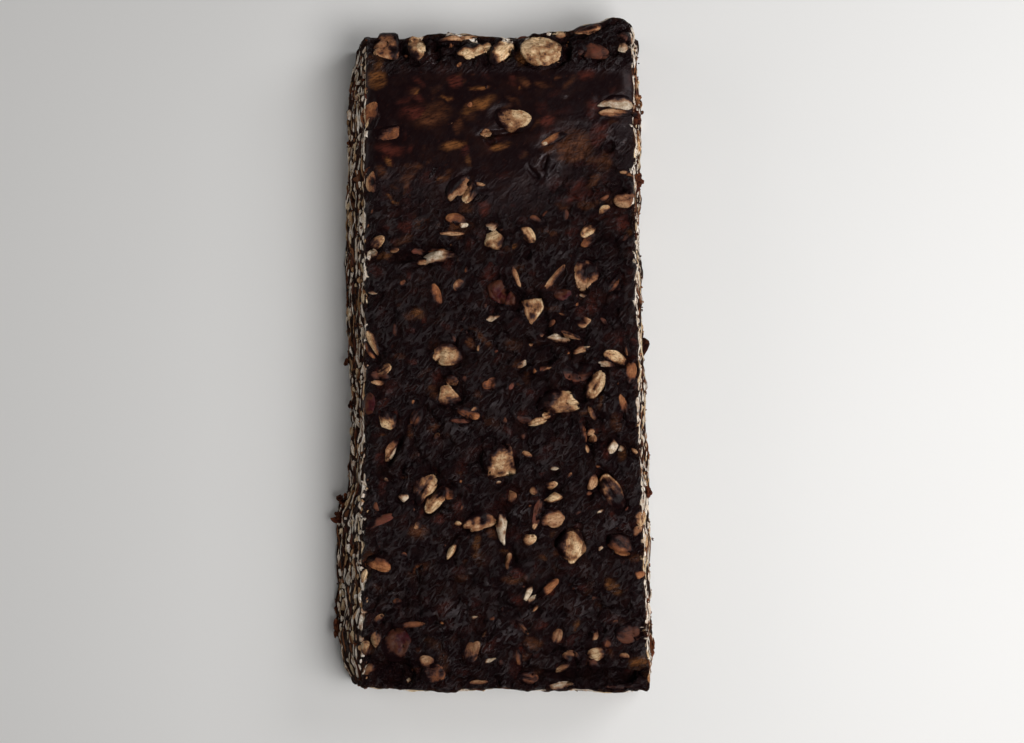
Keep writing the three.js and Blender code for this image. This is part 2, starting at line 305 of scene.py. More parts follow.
def stains(p, n):
    """Flakes just below the film: each point's tint and how strongly it shows through."""
    up = smooth(n[:, 2], 0.5, 0.9)
    near = shaken(p, 0.45, 1.1, 33)
    patch = smooth(lumps(turned(near, 15), (3.2, 1.7, 4), 31), 0.3, 0.9) * smooth(lumps(p, 9, 32), -0.3, 0.5)
    color = np.tile(SHOWING["red"], (len(p), 1))
    amount = 0.3 * patch
    mottle = 0.75 + 0.6 * lumps(turned(p, 15), (1.8, 0.7, 2), 35)
    rng = np.random.default_rng(17)
    small = []
    for _ in range(STAINS):
        length = rng.uniform(0.8, 3.6)
        where = (rng.uniform(-24.6, 24.4), rng.uniform(-58, 59))
        small.append((*where, length, length * rng.uniform(0.25, 0.7), rng.uniform(-50, 110)))
    tones = ["red"] * 5 + ["brown"] * 4 + ["orange"]
    spots = [(tone, piece, 1.05) for tone in SUNKEN for piece in SUNKEN[tone]]
    spots += [(str(rng.choice(tones)), piece, rng.uniform(0.2, 0.8)) for piece in small]
    for tone, piece, strength in spots:
        shape = smooth(1.4 - in_ellipse(near, piece), 0, 0.9)
        level = strength * shape * mottle
        take = level > amount
        color[take] = SHOWING[tone]
        amount = np.maximum(amount, level)
    return color, up * np.clip(amount, 0, 1)


def shine(p, n):
    """1 in the wet, glossy zones of the top face, down to -1 in its pits and in the gaps by its pieces."""
    up = smooth(n[:, 2], 0.35, 0.8)
    near = shaken(p, 0.8, 1.5, 36)
    zones = np.zeros(len(p))
    for zone in GLOSSY:
        zones = np.maximum(zones, smooth(1.6 - in_ellipse(near, zone), 0, 0.9))
    gaps = np.zeros(len(p))
    for pit in PITS:
        gaps = np.maximum(gaps, smooth(1.5 - in_ellipse(near, pit), 0, 0.6))
    for piece in ALL_PIECES:
        r = in_ellipse(p, piece)
        gap = (r - 1) * piece[3] / 2
        gaps = np.maximum(gaps, min(1.6 * piece[5], 1) * np.exp(-((gap - 0.4) / 0.4) ** 2) * (r < 4))
    return up * (zones * (1 - gaps) - gaps)


def add_object(name, data):
    made = bpy.data.objects.new(name, data)
    bpy.context.scene.collection.objects.link(made)
    return made


def vectors(items, key):
    """One vector of each item, as rows."""
    values = np.empty(3 * len(items), np.float32)
    items.foreach_get(key, values)
    return values.reshape(-1, 3).astype(float)


def set_attribute(mesh, name, values):
    """Gives each point of a mesh its number, or its colour (N x 4)."""
    kind, key = ("FLOAT", "value") if values.ndim == 1 else ("FLOAT_COLOR", "color")
    mesh.attributes.new(name, kind, "POINT").data.foreach_set(key, values.astype(np.float32).ravel())


def thin_out(body, normals):
    """Thins the body's faces: mostly on the underside, half as much on the sides, least on the top."""
    group = body.vertex_groups.new(name="thin")
    down, up = normals[:, 2] < -0.7, normals[:, 2] > 0.35
    group.add(np.nonzero(down)[0].tolist(), 1.0, "REPLACE")
    group.add(np.nonzero(~down & ~up)[0].tolist(), 0.5, "REPLACE")
    decimate = body.modifiers.new("thin_out", "DECIMATE")
    decimate.ratio = KEEP
    decimate.vertex_group = group.name


def chocolate_body():
    """The CAD solid's shape remeshed finely, with its relief in the mesh."""
    source = add_object("remesh_source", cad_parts[NODE].data.copy())
    remesh = source.modifiers.new("remesh", "REMESH")
    remesh.mode = "VOXEL"
    remesh.voxel_size = VOXEL * MM
    soften = source.modifiers.new("soften", "SMOOTH")
    soften.iterations = 6
    evaluated = source.evaluated_get(bpy.context.evaluated_depsgraph_get())
    mesh = bpy.data.meshes.new_from_object(evaluated)
    bpy.data.objects.remove(source)
    mesh.materials.clear()
    mesh.name = "chocolate_body"

    p, n = vectors(mesh.vertices, "co") / MM, vectors(mesh.vertex_normals, "vector")
    plan = p - FACE_MIDDLE
    moved = p + n * relief(plan, n)[:, None]
    moved[:, 2] = np.maximum(moved[:, 2], CLEARANCE)
    mesh.vertices.foreach_set("co", (moved * MM).astype(np.float32).ravel())
    color, amount = stains(plan, n)
    set_attribute(mesh, "stain", np.column_stack([color, np.ones(len(p))]))
    side = 1 - smooth(np.abs(n[:, 2]), 0.35, 0.8)
    for name, values in {"show": amount, "calm": calmness(plan), "wet": shine(plan, n), "side": side}.items():
        set_attribute(mesh, name, values)
    mesh.shade_smooth()
    mesh.update()
    body = add_object("chocolate_body", mesh)
    thin_out(body, n)
    return body


# ---- small pieces

class Heap:
    """Small closed pieces gathered into one joined mesh, with a tint and a soaking for each point."""

    def __init__(self, name, material, slot):
        self.name, self.material, self.slot = name, material, slot
        self.points, self.faces, self.uvs, self.tints, self.soaks = [], [], [], [], []
        self.count = 0

    def add(self, points, faces, uv, tint, soak):
        self.points.append(points)
        self.faces += [tuple(i + self.count for i in face) for face in faces]
        self.uvs.append(uv)
        self.tints.append(np.tile(np.append(tint, 1.0), (len(points), 1)))
        self.soaks.append(soak)
        self.count += len(points)

    def build(self):
        mesh = bpy.data.meshes.new(self.name)
        mesh.from_pydata((np.concatenate(self.points) * MM).tolist(), [], self.faces)
        set_attribute(mesh, "tint", np.concatenate(self.tints))
        set_attribute(mesh, "soak", np.concatenate(self.soaks))
        corner = np.empty(len(mesh.loops), np.int32)
        mesh.loops.foreach_get("vertex_index", corner)
        layer = mesh.uv_layers.new(name="UVMap")
        layer.data.foreach_set("uv", np.concatenate(self.uvs)[corner].astype(np.float32).ravel())
        mesh.materials.append(self.material)
        mesh.shade_smooth()
        mesh.update()
        piece = add_object(self.name, mesh)
        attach(piece, "root")


def shell(rings, segments):
    """Faces of a closed shell: its first point, rings of that many points, and its last point."""
    sides = [(i, (i + 1) % segments) for i in range(segments)]
    faces = [(0, 1 + i, 1 + j) for i, j in sides]
    for ring in range(rings - 1):
        a, b = 1 + ring * segments, 1 + (ring + 1) * segments
        faces += [(a + i, b + i, b + j, a + j) for i, j in sides]
    outer, last = 1 + (rings - 1) * segments, 1 + rings * segments
    return faces + [(last, outer + j, outer + i) for i, j in sides]


def at_level(points, level):
    """The points' places in plan, all at one level."""
    return np.column_stack([points[:, :2], np.full(len(points), level)])


def outline(rng, angles, corners, whole=False):
    """Reach of a flake's rim for each angle: a worn oval, or a broken piece with that many corners."""
    wave = sum(rng.uniform(-1, 1) * np.sin(k * angles + rng.uniform(0, 6.3)) / k for k in (2, 3, 4, 5, 7))
    if whole:
        return 1 + 0.05 * wave
    if not corners:
        reach = 1 + 0.14 * wave
    else:
        turns = (np.arange(corners) + rng.uniform(-0.3, 0.3, corners)) * 2 * math.pi / corners
        turns += rng.uniform(0, 6.3)
        tips = np.stack([np.cos(turns), np.sin(turns)], 1) * rng.uniform(0.85, 1.3, corners)[:, None]
        reach = np.full(len(angles), 9.0)
        for a, b in zip(tips, np.roll(tips, -1, axis=0)):
            across = np.array([b[1] - a[1], a[0] - b[0]])
            across /= np.linalg.norm(across)
            lean = across[0] * np.cos(angles) + across[1] * np.sin(angles)
            reach = np.minimum(reach, np.where(lean > 0.05, (a @ across) / np.maximum(lean, 0.05), 9.0))
        reach = np.clip(reach, 0.4, 1.3) * (1 + 0.05 * wave)
    for _ in range(rng.integers(0, 3)):
        away = (angles - rng.uniform(0, 6.28) + math.pi) % (2 * math.pi) - math.pi
        reach *= 1 - rng.uniform(0.1, 0.3) * np.exp(-(away / rng.uniform(0.2, 0.5)) ** 2)
    return reach


def flake(
    rng, length, width, thick, corners=0, crease=0.0, bend=0.0, rings=6, segments=20, rough=0.05, whole=False
):
    """A closed flat piece lying in XY: its points, faces, and each point's share of the way to its rim."""
    angles = np.arange(segments) * 2 * math.pi / segments
    rim = outline(rng, angles, corners, whole)
    share = (np.arange(1, rings + 1) / rings) ** 0.8
    x = np.outer(share, rim * np.cos(angles)).ravel()
    y = np.outer(share, rim * np.sin(angles)).ravel()
    r = np.append(0.0, np.repeat(share, segments))
    x, y = np.append(0.0, x), np.append(0.0, y)
    z = thick * (1 - r ** 4) - 0.3 * thick
    z -= crease * thick * np.exp(-(y / 0.13) ** 2) * (1 - x ** 2).clip(0)
    flat = np.stack([x * length / 2, y * width / 2, np.full(len(x), rng.uniform(0, 99))], 1)
    z += rough * lumps(flat, 0.7, 41) * (1 - r ** 3)
    points = np.stack([flat[:, 0], flat[:, 1] + bend * x ** 2 * width, z], 1)
    points = np.vstack([points, [0, bend * 0.3 * width, -0.9 * thick]])
    return points, shell(rings, segments), np.append(r, 1.0)


def soaking(rng, points, r, soak, length, width, turn, pattern, crease=0.0):
    """How far chocolate has soaked each point: its rim and one side fade into the chocolate."""
    flat = at_level(points, rng.uniform(0, 99))
    patchy = lumps(flat, 1.4, 43)
    rim = smooth(r + 0.3 * patchy, 0.45, 1.05)
    value = soak + (0.4 + 0.5 * soak) * rim + 0.45 * lumps(flat, 1.9, 44)
    x, y = points[:, 0] / (length / 2), points[:, 1] / (width / 2)
    aim = rng.uniform(0, 2 * math.pi)
    lean = x * math.cos(aim) + y * math.sin(aim)
    value += (0.55 + 0.6 * soak) * smooth(lean + 0.3 * patchy, -0.5, 1.0) - 0.25 * smooth(-lean, 0.1, 0.9)
    value -= 0.5 * smooth(-lean + 0.5 * lumps(flat, 1.1, 46), -0.1, 0.5) * np.exp(-((r - 0.9) / 0.07) ** 2)
    if crease:
        value += 0.7 * crease * np.exp(-((y - rng.uniform(-0.2, 0.2) + 0.12 * patchy) / 0.2) ** 2)
    style = pattern[0] if pattern else ""
    if style == "half":
        aim = math.radians(pattern[1] - turn)
        value += 0.7 * smooth(x * math.cos(aim) + y * math.sin(aim) + 0.25 * patchy, -0.35, 0.8)
    if style == "ring":
        value += 0.45 * smooth(0.8 - r + 0.3 * patchy, 0, 0.4) - 0.2 * rim
    if style == "speckled":
        value += 0.15 + 0.9 * lumps(flat, 0.6, 45)
    return value


# how a flat piece is laid on the body
STRAY = 2.5  # a ray that meets the body this far from the middle depth has missed the face
ENOUGH = 0.6  # share of the rays that must meet the face
STEEPEST = 0.7  # most that the piece leans, as a slope
FOLLOWED = 0.7  # most that it follows the relief below it


def lay(tree, points, origin, aim, along, conform=0.75, spread=None):
    """Points of a flat piece laid on the body where a ray from origin along aim meets it, or None.

    The piece's x runs along `along` and its z stands out against `aim`. It leans with the body below it
    and follows the rest of the body's relief by the share `conform`. It may overhang an edge a little,
    but not where `spread` is given: then it is left out if the body falls away by more.
    """
    down = np.array(aim, float)
    x = np.array(along, float) - down * np.dot(along, down)
    x /= np.linalg.norm(x)
    y = np.cross(-down, x)
    starts = np.array(origin, float) + np.outer(points[:, 0], x) + np.outer(points[:, 1], y)
    hits = [tree.ray_cast(Vector(start * MM), Vector(down))[3] for start in starts]
    depth = np.array([hit / MM if hit is not None else np.nan for hit in hits])
    if np.isnan(depth).all():
        return None
    level = np.nanmedian(depth)
    found = np.abs(depth - level) < STRAY
    if found.mean() < ENOUGH or (spread and (np.isnan(depth).any() or np.ptp(depth) > spread)):
        return None
    spots = at_level(points, 1.0)
    lean = np.linalg.lstsq(spots[found], depth[found], rcond=None)[0]
    lean[:2] = np.clip(lean[:2], -STEEPEST, STEEPEST)
    plane = spots @ lean
    depth = plane + conform * np.clip(np.where(found, depth - plane, 0), -FOLLOWED, FOLLOWED) - points[:, 2]
    return starts + np.outer(depth, down)


def from_above(x, y):
    return np.array([x, y, RAY_ABOVE]) + FACE_MIDDLE


def facing(turn):
    return math.cos(math.radians(turn)), math.sin(math.radians(turn)), 0


def top_pieces(tree, heaps, rng):
    """The pieces named in TOP_PIECES, each seated in the face. Those near the near end are darker and more
    soaked.
    """
    for tone, pieces in TOP_PIECES.items():
        tint, soak, kind = TONES[tone]
        for x, y, length, width, turn, proud, *pattern in pieces:
            whole = proud >= 0.8
            angular = not whole and (kind == "nut" or width > 0.75 * length)
            corners = int(rng.integers(4, 7)) if angular else 0
            seamed = kind == "oat" and not angular and 0.4 <= proud < 0.8 and rng.random() < 0.6
            crease = 0.45 if seamed else 0.0
            big = max(length, width) > 3
            length, width = length * (1.04 if whole else 1.18), width * (1.04 if whole else 1.25)
            points, faces, r = flake(
                rng, length, width, 0.12 + 0.45 * proud, corners, crease, rng.uniform(-0.15, 0.15),
                10 if big else 7, 32 if big else 20, 0.06 + 0.16 * proud, whole,
            )
            points[:, 2] += points[:, :2] @ rng.uniform(-0.06, 0.06, 2) + 0.12 * proud
            dull = smooth(-y, 42.0, 50.0)
            lift = 1.2 if whole or y > 50 else 1
            shade = np.array(tint) * rng.uniform(0.85, 1.1) * (1 - 0.3 * dull) * lift
            soaked = soaking(rng, points, r, soak + 0.12 * dull, length, width, turn, pattern, crease)
            if whole:
                soaked = 0.45 * soaked - 0.08
            uv = points[:, :2] + rng.uniform(0, 50, 2)
            place = lay(tree, points, from_above(x, y), (0, 0, -1), facing(turn), 0.9)
            if place is not None:
                heaps[kind].add(place, faces, uv, shade, soaked)


def coated_flakes(tree, heaps, rng):
    """Flakes wholly coated in chocolate, overlapping and tilted, that make the face uneven."""
    made = 0
    while made < COATED:
        x, y = rng.uniform(-23.5, 23.3), rng.uniform(-57, 58)
        if SMOOTH_FROM - 8 < y < 53 and (y > SMOOTH_FROM or rng.random() < 0.5):
            continue
        length = rng.uniform(2.0, 5.0)
        width = length * rng.uniform(0.35, 0.75)
        if not far_enough(x, y, 0.3 * width):
            continue
        corners = int(rng.choice([0, 4, 5]))
        points, faces, r = flake(rng, length, width, 0.2, corners, 0.5, rng.uniform(-0.2, 0.2), 6, 20, 0.15)
        points[:, 2] += points[:, :2] @ rng.uniform(-0.14, 0.14, 2) - rng.uniform(0.05, 0.2)
        place = lay(tree, points, from_above(x, y), (0, 0, -1), facing(rng.normal(40, 35)), 0.9)
        if place is None:
            continue
        uv = points[:, :2] + rng.uniform(0, 50, 2)
        heaps["coat"].add(place, faces, uv, np.array(TONES["red"][0]), r * 0)
        made += 1


def far_enough(x, y, reach):
    """Whether a small piece at x, y keeps clear of the named ones."""
    point = np.array([[x, y, 0.0]])
    return all(in_ellipse(point, piece, reach)[0] > 1 for piece in ALL_PIECES)


def top_bits(tree, heaps, rng):
    """Small bits between the named pieces, fewer over the smooth far end, and pale ones along the left edge,
    partly oat edges and partly a painted highlight for the white glints along that edge.
    """
    tones = ["red", "brown", "orange", "tan", "white", "cream"]
    made = 0
    while made < BITS + EDGE_GLINT_BITS:
        edge = made >= BITS
        x, y = rng.uniform(-24.5, 24.3), rng.uniform(-58.5, 60)
        if edge:
            x = rng.uniform(-25.4, -24.7)
        thin = SMOOTH_FROM - 6 < y < 54
        length = rng.uniform(0.4, 1.1) if edge else rng.uniform(0.6, 2.2)
        if (thin and not edge and rng.random() < 0.85) or not far_enough(x, y, length / 2):
            continue
        # the mostly white and cream tones along the left edge are partly painted highlight for the white
        # glints there
        shares = [0.1, 0.1, 0.1, 0.2, 0.3, 0.2] if edge else [0.34, 0.3, 0.2, 0.1, 0.02, 0.04]
        tone = str(rng.choice(tones, p=shares))
        tint, soak, kind = TONES[tone]
        width = length * rng.uniform(0.3, 0.8)
        corners = int(rng.choice([0, 4, 5]))
        thick, bend = rng.uniform(0.08, 0.22), rng.uniform(-0.3, 0.3)
        points, faces, r = flake(rng, length, width, thick, corners, 0, bend, 5, 14)
        points[:, 2] += points[:, :2] @ rng.uniform(-0.15, 0.15, 2)
        turn = rng.normal(80, 20) if edge else rng.normal(40, 40)
        place = lay(tree, points, from_above(x, y), (0, 0, -1), facing(turn), spread=1.0 if edge else None)
        soaked = soaking(rng, points, r, soak + rng.uniform(0.0, 0.3), length, width, 0, ())
        if place is not None:
            heaps[kind].add(place, faces, points[:, :2] + rng.uniform(0, 50, 2), np.array(tint), soaked)
            made += 1


# colours of the cut flakes
WALL_TONES = {
    "pale": (0.86, 0.8, 0.73), "cream": (0.74, 0.6, 0.42), "tan": (0.5, 0.32, 0.18),
    "brown": (0.2, 0.085, 0.042), "red": (0.1, 0.032, 0.022),
}

# Walls: where rays start, the way they point, the direction of the layers, how far they reach along it, and
# the share of the places along them that hold a flake
WALLS = {
    "left": ((-60, 0, 0), (1, 0, 0), (0, 1, 0), (-60, 61), 1.0),
    "right": ((60, 0, 0), (-1, 0, 0), (0, 1, 0), (-60, 61), 0.95),
    "near": ((0, -90, 0), (0, 1, 0), (1, 0, 0), (-27, 27), 0.95),
    "far": ((0, 90, 0), (0, -1, 0), (1, 0, 0), (-27, 26), 0.95),
}


def wall_start(name, place, height):
    """Where a ray starts that meets a wall at a place along it and a height."""
    start, along = np.array(WALLS[name][0], float), np.array(WALLS[name][2])
    origin = start + along * place + FACE_MIDDLE * along
    origin[2] = height
    return origin


def cut_flake(tree, heap, rng, name, place, z, top, length, width, spread):
    """One flake, edge on in a wall, that begins at a place along it in the layer at height z."""
    start, aim, along = WALLS[name][:3]
    wave = lumps(np.array([[place, 3 * z, 7.0 * start[0] + start[1]]]), (9, 6, 5), 61)[0]
    height = np.clip(z + 0.9 * wave + rng.uniform(-0.6, 0.6), 0.3, top - width / 2)
    steepest = 2 * max(top + 0.3 - height, 0.1) / length
    lean = np.array(along, float) + np.array([0, 0, np.clip(rng.normal(0, 0.2), -steepest, steepest)])
    points, faces, r = flake(
        rng, length, width, rng.uniform(0.05, 0.3), int(rng.choice([0, 4, 5, 6])), 0,
        rng.uniform(-0.5, 0.5), 3, 14, 0.08,
    )
    placed = lay(tree, points, wall_start(name, place + length / 2, height), aim, lean, 0.9, spread)
    high_up = height > THICKNESS - 3.5
    shares = [0.76, 0.14, 0.03, 0.04, 0.03] if high_up else [0.5, 0.18, 0.09, 0.15, 0.08]
    tone = str(rng.choice(list(WALL_TONES), p=shares))
    if placed is None:
        return
    placed[:, 2] = np.clip(placed[:, 2], LOWEST, HIGHEST)
    tint = np.array(WALL_TONES[tone]) * rng.uniform(0.85 if high_up else 0.6, 1.15)
    soaked = rng.uniform(-0.6, 0.15) + 0.25 * smooth(r, 0.6, 1.0)
    soaked += 0.35 * lumps(at_level(points, place), 0.9, 62)
    heap.add(placed, faces, points[:, :2] + rng.uniform(0, 50, 2), tint, soaked)


def wall_flakes(tree, heaps, rng):
    """Flakes and nuts cut through by the knife, edge on in wavy broken layers along every side."""
    for name, (_, _, _, (low, high), share) in WALLS.items():
        top = THICKNESS - {"far": 2.6, "near": 1.6}.get(name, 0.9)
        z = 0.5
        while z < top + 0.6:
            place = low + rng.uniform(0, 2)
            while place < high:
                long_one = rng.random() < 0.33
                length = rng.uniform(2.4, 6.0) if long_one else rng.uniform(0.5, 2.4)
                nut = rng.random() < 0.1
                width = rng.uniform(1.2, 2.4) if nut else rng.uniform(0.3, 1.1) * (1.2 if long_one else 1)
                length = min(length, 3.2) if nut else length
                if rng.random() < share:
                    spread = 2.0 if long_one else 1.4
                    cut_flake(tree, heaps["wall"], rng, name, place, z, top, length, width, spread)
                step = length * 0.8 + rng.exponential(0.25)
                place += step + (rng.uniform(0.4, 1.8) if rng.random() < 0.1 else 0)
            z += LAYER * rng.uniform(0.7, 1.05)


def under_flakes(tree, heaps, rng):
    """Flakes pressed flat against the underside, each at a level of its own."""
    for i in range(PRESSED):
        x, y = rng.uniform(-28, 26), rng.uniform(-59, 60)
        length, width = rng.uniform(2.5, 7.5), rng.uniform(1.5, 4.5)
        tone = str(rng.choice(["cream", "tan", "orange", "brown", "red"], p=[0.2, 0.25, 0.25, 0.2, 0.1]))
        tint, soak, _ = TONES[tone]
        points, faces, r = flake(rng, length, width, 0.25, 0, 0.2, 0, 6, 18, 0.03)
        origin = np.array([x, y, RAY_BELOW]) + FACE_MIDDLE
        placed = lay(tree, points, origin, (0, 0, 1), facing(rng.uniform(0, 180)), 0.9)
        if placed is None:
            continue
        placed[:, 2] = np.maximum(placed[:, 2], 0.8 * CLEARANCE * i / PRESSED)
        soaked = soaking(rng, points, r, soak, length, width, 0, ())
        heaps["under"].add(placed, faces, points[:, :2] + rng.uniform(0, 50, 2), np.array(tint), soaked)


def lump(rng, size):
    """A torn crumb: an uneven ball of that size, with its points, faces and roughness shares."""
    rows, columns = 6, 9
    points = [[0, 0, 1]]
    for row in range(1, rows):
        for column in range(columns):
            polar, turn = math.pi * row / rows, 2 * math.pi * column / columns
            around = math.sin(polar)
            points.append([around * math.cos(turn), around * math.sin(turn), math.cos(polar)])
    points = np.array(points + [[0, 0, -1]], float)
    offset = rng.uniform(0, 99, 3)
    swell = 1 + 0.45 * lumps(points + offset, 0.8, 51) + 0.35 * lumps(points + offset, 0.35, 52)
    points = points * swell[:, None] * np.array(size) / 2
    return points, shell(rows - 1, columns), smooth(swell, 0.8, 1.3)


# Crumbs that stand out of the sides: y, height, size, tone
CRUMBS = {"right": [
    (47.8, 13, (2, 1.8, 1.8), "tan"), (45, 12.5, (2, 3.2, 2.4), "red"), (39.8, 12, (1.3, 3, 2), "cream"),
    (33.3, 13, (1.8, 1.6, 1.6), "brown"), (31.9, 12, (2.2, 2.4, 2.2), "red"),
    (-24.8, 8, (1.6, 2.2, 1.8), "red"), (-32.8, 6, (.8, .9, 1), "brown"), (-47.5, 6, (1, 1.6, 1.4), "brown"),
    (-53.5, 6, (1.2, 4, 2), "brown"),
], "left": [
    (-26, 3, (2, 2.4, 2.6), "brown"), (-29, 3, (2.4, 2, 2.2), "red"), (42, 3, (1.2, 1.6, 1.5), "brown"),
    (12.8, 3, (1.1, 2.6, 1.8), "brown"), (-50, 3, (1.6, 3.6, 2.4), "brown"),
    (-8, 4, (1.2, 1.6, 1.4), "brown"), (.8, 3, (1.2, 1.8, 1.6), "brown"),
]}


def crumbs(tree, heaps, rng):
    """Crumbs clinging to the sides: the named ones, then many small ones, each a cluster of torn bits."""
    small = []
    for name, (_, _, _, (low, high), _) in WALLS.items():
        for _ in range(int((high - low) * 0.7)):
            size = rng.uniform(0.4, 0.9) * rng.uniform(0.6, 1.4, 3)
            tone = str(rng.choice(["brown", "red", "tan", "white"], p=[0.55, 0.2, 0.1, 0.15]))
            small.append((name, rng.uniform(low, high), THICKNESS * rng.uniform(0.02, 0.94), size, tone))
    named = [(name, *crumb) for name in CRUMBS for crumb in CRUMBS[name]]
    for name, place, height, size, tone in named + small:
        aim = WALLS[name][1]
        hit = tree.ray_cast(Vector(wall_start(name, place, height) * MM), Vector(aim))[0]
        if hit is None:
            continue
        tint, soak, _ = TONES[tone]
        size = np.array(size)
        for _ in range(3 if max(size) < 1.3 else 14):
            points, faces, r = lump(rng, size * rng.uniform(0.3, 0.6) * rng.uniform(0.6, 1.3, 3))
            shift = rng.uniform(-0.42, 0.42, 3) * size
            placed = points + shift + np.array(hit) / MM - np.array(aim) * 0.1 * size[0]
            placed[:, 2] = np.clip(placed[:, 2], LOWEST, HIGHEST)
            shade = np.array(tint) * rng.uniform(0.5, 1.4)
            heaps["crumb"].add(placed, faces, points[:, :2], shade, soak + 0.35 * (1 - r))


# ---- materials

class Nodes:
    """Short names for making a material's nodes."""

    def __init__(self, name):
        self.material = bpy.data.materials.new(name)
        self.material.use_nodes = True
        self.tree = self.material.node_tree
        self.shader = self.tree.nodes["Principled BSDF"]

    def node(self, kind, inputs=None, **settings):
        made = self.tree.nodes.new(kind)
        for key, value in settings.items():
            setattr(made, key, value)
        for key, value in (inputs or {}).items():
            self.put(value, made.inputs[key])
        return made

    def put(self, value, socket):
        if isinstance(value, bpy.types.NodeSocket):
            self.tree.links.new(value, socket)
        else:
            socket.default_value = value

    def math(self, operation, a, b):
        return self.node("ShaderNodeMath", {0: a, 1: b}, operation=operation).outputs[0]

    def times(self, a, b):
        return self.math("MULTIPLY", a, b)

    def plus(self, a, b):
        return self.math("ADD", a, b)

    def minus(self, a, b):
        return self.math("SUBTRACT", a, b)

    def ramp(self, value, low, high):
        """An S curve from 0 at low to 1 at high."""
        inputs = {"Value": value, "From Min": low, "From Max": high}
        return self.node("ShaderNodeMapRange", inputs, interpolation_type="SMOOTHSTEP").outputs["Result"]

    def mix(self, share, a, b, blend="MIX"):
        made = self.node("ShaderNodeMix", data_type="RGBA", blend_type=blend)
        self.put(share, made.inputs[0])
        self.put(a, made.inputs[6])
        self.put(b, made.inputs[7])
        return made.outputs[2]

    def noise(self, vector, scale, detail=3.0, roughness=0.5, extra=None, **settings):
        inputs = {"Vector": vector, "Scale": scale, "Detail": detail, "Roughness": roughness}
        return self.node("ShaderNodeTexNoise", inputs | (extra or {}), **settings).outputs["Fac"]

    def ridges(self, vector, scale, detail, roughness):
        """Noise with thin raised lines: about 1 between them and up to 2 on them."""
        extra = {"Offset": 1.0, "Distortion": 0.5}
        return self.noise(vector, scale, detail, roughness, extra, noise_type="RIDGED_MULTIFRACTAL")

    def place(self, size=(1, 1), turn=0.0, source="Object"):
        """Texture places in units of that size in millimetres along axes turned about Z."""
        unit = MM if source == "Object" else 1.0
        inputs = {
            "Vector": self.node("ShaderNodeTexCoord").outputs[source],
            "Rotation": (0, 0, math.radians(turn)),
            "Scale": tuple(unit * value for value in (*size, 1)),
        }
        return self.node("ShaderNodeMapping", inputs, vector_type="TEXTURE").outputs["Vector"]

    def attribute(self, name, output="Fac"):
        return self.node("ShaderNodeAttribute", attribute_name=name).outputs[output]

    def bump(self, height, distance, strength=1.0, after=None):
        inputs = {"Height": height, "Distance": distance * MM, "Strength": strength}
        if after is not None:
            inputs["Normal"] = after
        return self.node("ShaderNodeBump", inputs).outputs["Normal"]

    def finish(self, color, roughness, normal):
        self.put(color, self.shader.inputs["Base Color"])
        self.put(roughness, self.shader.inputs["Roughness"])
        self.put(normal, self.shader.inputs["Normal"])
        return self.material


CHOCOLATE = (0.0066, 0.0021, 0.0025, 1)
CHOCOLATE_WARM = (0.0125, 0.0042, 0.0034, 1)  # in patches
STAIN = (0.045, 0.013, 0.008, 1)  # specks in it
CRUMBLY = (0.04, 0.0165, 0.009, 1)  # where the sides are cut
BROWNED = (0.14, 0.055, 0.025, 1)  # a dry piece where chocolate begins to soak it
FILM = (0.046, 0.014, 0.009, 1)  # a piece under a film of chocolate
BRAN = (0.09, 0.032, 0.013, 1)  # flecks on oats


def chocolate_material():
    m = Nodes("dark_chocolate")
    place = m.place()
    patches = m.ramp(m.noise(place, 0.35, 4.0, 0.6), 0.42, 0.72)
    color = m.mix(patches, CHOCOLATE, CHOCOLATE_WARM)
    specks = m.ramp(m.noise(m.place((1.0, 0.6), 45), 1.3, 2.0), 0.62, 0.76)
    color = m.mix(m.times(specks, 0.35), color, STAIN)
    streaks = m.ramp(m.noise(m.place((1.6, 0.45), 15), 1.4, 4.0, 0.65), 0.25, 0.65)
    stain = m.times(m.attribute("show"), streaks)
    color = m.mix(stain, color, m.attribute("stain", "Color"))
    side = m.attribute("side")
    crumbly = m.times(side, m.ramp(m.noise(place, 1.6, 4.0, 0.65), 0.35, 0.65))
    color = m.mix(crumbly, color, CRUMBLY)
    rough = m.minus(1.0, m.times(m.attribute("calm"), 0.92))
    roughness = m.times(m.ramp(m.noise(place, 0.9), 0.2, 0.9), 0.16)
    roughness = m.plus(roughness, m.minus(0.28, m.times(rough, 0.13)))
    roughness = m.plus(roughness, m.times(side, 0.4))
    wrinkles = m.ridges(m.place((1.6, 0.75), 48), 0.9, 4.0, 0.65)
    strokes = m.noise(m.place((1.6, 1.0), 48), 0.5, 3.0, 0.6)
    wet = m.times(m.ramp(strokes, 0.25, 0.65), m.math("POWER", rough, 2.5))
    wet = m.plus(wet, m.times(m.attribute("wet"), m.ramp(strokes, 0.3, 0.6)))
    wet = m.times(m.math("MAXIMUM", wet, 0.0), m.ramp(wrinkles, 0.75, 1.7))
    gloss = m.plus(m.times(wet, 0.55), m.minus(0.15, m.times(rough, 0.1)))
    gloss = m.times(gloss, m.minus(1.0, m.times(side, 0.9)))
    m.put(gloss, m.shader.inputs["Specular IOR Level"])
    m.put((1.0, 0.88, 0.91, 1), m.shader.inputs["Specular Tint"])
    normal = m.bump(m.noise(m.place((1.3, 0.7), 50), 1.4, 5.0, 0.75), 0.42, rough)
    normal = m.bump(wrinkles, 0.22, rough, after=normal)
    normal = m.bump(m.noise(m.place((1.0, 0.5), 40), 3.0, 3.0, 0.65), 0.12, rough, after=normal)
    return m.finish(color, roughness, normal)


